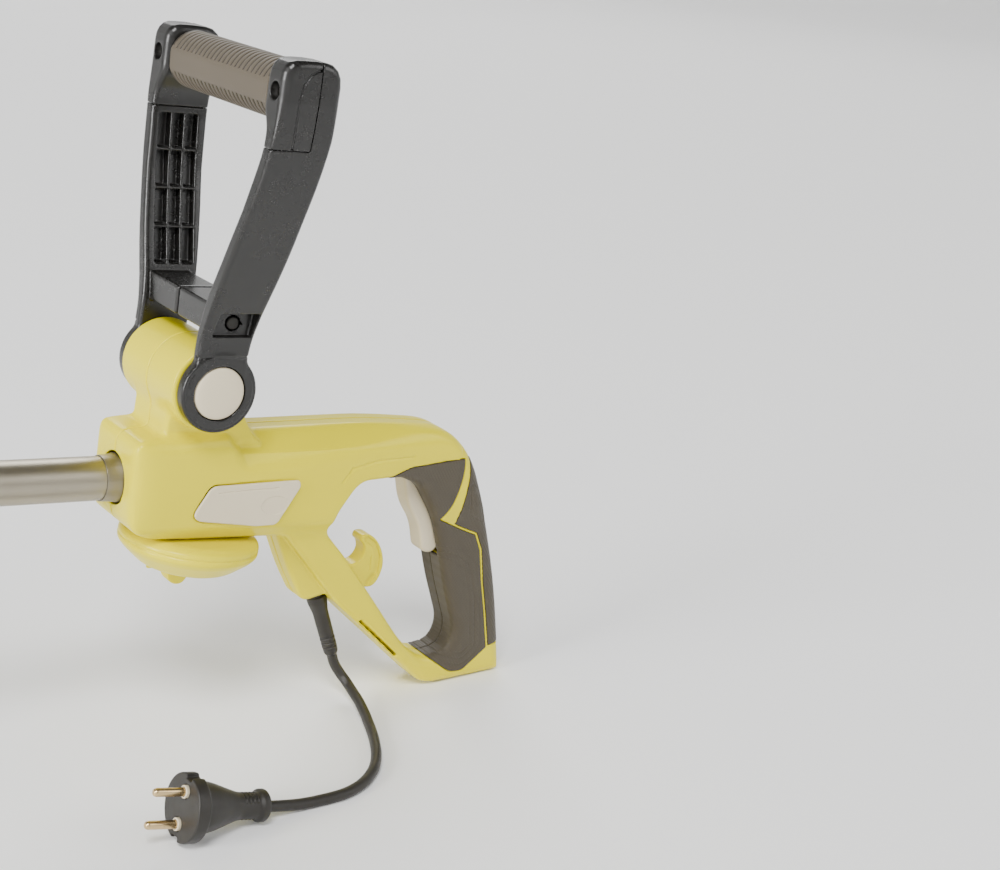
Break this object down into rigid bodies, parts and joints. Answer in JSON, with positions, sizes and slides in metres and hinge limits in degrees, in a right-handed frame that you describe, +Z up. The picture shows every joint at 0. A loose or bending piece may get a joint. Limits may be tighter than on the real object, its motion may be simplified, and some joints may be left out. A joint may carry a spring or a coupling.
{
  "type": "string trimmer",
  "caption": "Corded electric string trimmer: trigger grip and hand loop at the rear, tilting D-handle, straight tube, motor head with guard and spool.",
  "frame": {"origin": "middle of the flat foot under the rear grip, on the floor that the trimmer stands on", "axes": "+Z up; +X to the rear, away from the motor head; the tube runs towards -X and rises 4 degrees; +Y to the user's left as they face the head"},
  "size_m": [1.2206, 0.276, 0.4098],
  "materials": {
    "yellow_shell": "satin moulded, lime yellow",
    "grip_overmould": "matt soft-touch overmould",
    "cream_plastic": "satin cream",
    "handle_plastic": "satin near-black",
    "ribbed_grip": "matt ribbed taupe",
    "satin_tube": "satin champagne anodised",
    "ferrule_plastic": "matt",
    "spring_steel": "bright wire",
    "zinc_steel": "zinc plated",
    "lead_rubber": "matt dark grey-brown",
    "pin_brass": "bright",
    "motor_iron": "laminated iron and copper wire",
    "dark_plastic": "matt",
    "line_nylon": "clear orange nylon"
  },
  "bodies": {
    "housing": {"housing_left_shell": "yellow_shell", "housing_right_shell": "yellow_shell", "cord_hook": "yellow_shell", "spare_spool_holder": "yellow_shell", "motor_left_shell": "yellow_shell", "motor_right_shell": "yellow_shell", "grip_cover_left": "grip_overmould", "grip_cover_right": "grip_overmould", "badge_left": "cream_plastic", "badge_right": "cream_plastic", "pin_collar_1": "cream_plastic", "pin_collar_2": "cream_plastic", "guard": "handle_plastic", "shaft_tube": "satin_tube", "shaft_ferrule": "ferrule_plastic", "trigger_spring": "spring_steel", "trigger_pin": "zinc_steel", "cutter_screw": "zinc_steel", "line_cutter": "zinc_steel", "upper_bearing": "zinc_steel", "lower_bearing": "zinc_steel", "housing_screw_1": "zinc_steel", "housing_screw_2": "zinc_steel", "housing_screw_3": "zinc_steel", "housing_screw_4": "zinc_steel", "cord": "lead_rubber", "strain_relief": "lead_rubber", "plug_body": "lead_rubber", "inner_lead": "lead_rubber", "motor_lead": "lead_rubber", "plug_pin_1": "pin_brass", "plug_pin_2": "pin_brass", "motor_stator": "motor_iron", "switch_body": "dark_plastic"},
    "d_handle": {"handle_arm_left": "handle_plastic", "handle_arm_right": "handle_plastic", "handle_cap_left": "handle_plastic", "handle_cap_right": "handle_plastic", "grip_sleeve": "ribbed_grip", "grip_core": "zinc_steel", "cap_screw_left": "zinc_steel", "cap_screw_right": "zinc_steel", "arm_screw": "zinc_steel", "lock_spring": "spring_steel"},
    "left_button": {"pivot_button_left": "cream_plastic", "lock_gear_left": "dark_plastic"},
    "right_button": {"pivot_button_right": "cream_plastic", "lock_gear_right": "dark_plastic"},
    "trigger": {"trigger": "cream_plastic"},
    "cutting_head": {"motor_armature": "motor_iron", "motor_shaft": "zinc_steel", "cooling_fan": "dark_plastic", "spool_housing": "handle_plastic", "spool_lid": "dark_plastic", "cutting_line_left": "line_nylon", "cutting_line_right": "line_nylon", "spool_spring": "spring_steel"},
    "bump_spool": {"spool": "line_nylon", "line_coil": "line_nylon", "bump_cap": "cream_plastic"}
  },
  "joints": [
    {"name": "handle_tilt", "type": "hinge", "parent": "housing", "child": "d_handle", "pos_m": [-0.205, 0, 0.22374], "axis": [0, 1, 0], "range_deg": [-50, 50]},
    {"name": "left_button_press", "type": "slide", "parent": "d_handle", "child": "left_button", "axis": [0, 1, 0], "range_m": [0, 0.003], "stiffness_N_per_m": 1200, "springref_m": -0.002, "deforming": ["lock_spring"]},
    {"name": "right_button_press", "type": "slide", "parent": "d_handle", "child": "right_button", "axis": [0, -1, 0], "range_m": [0, 0.003], "stiffness_N_per_m": 1200, "springref_m": -0.002},
    {"name": "trigger_pull", "type": "hinge", "parent": "housing", "child": "trigger", "pos_m": [-0.05992, 0, 0.16247], "axis": [0, -1, 0], "range_deg": [0, 7], "stiffness_Nm_per_rad": 2, "springref_deg": -5.73, "deforming": ["trigger_spring"]},
    {"name": "head_spin", "type": "hinge", "parent": "housing", "child": "cutting_head", "pos_m": [-1.12373, 0, 0.13994], "axis": [0.7547, 0, 0.6561], "continuous": true},
    {"name": "bump_feed", "type": "slide", "parent": "cutting_head", "child": "bump_spool", "axis": [0.7547, 0, 0.6561], "range_m": [0, 0.0045], "stiffness_N_per_m": 900, "springref_m": -0.003, "deforming": ["spool_spring"]}
  ]
}
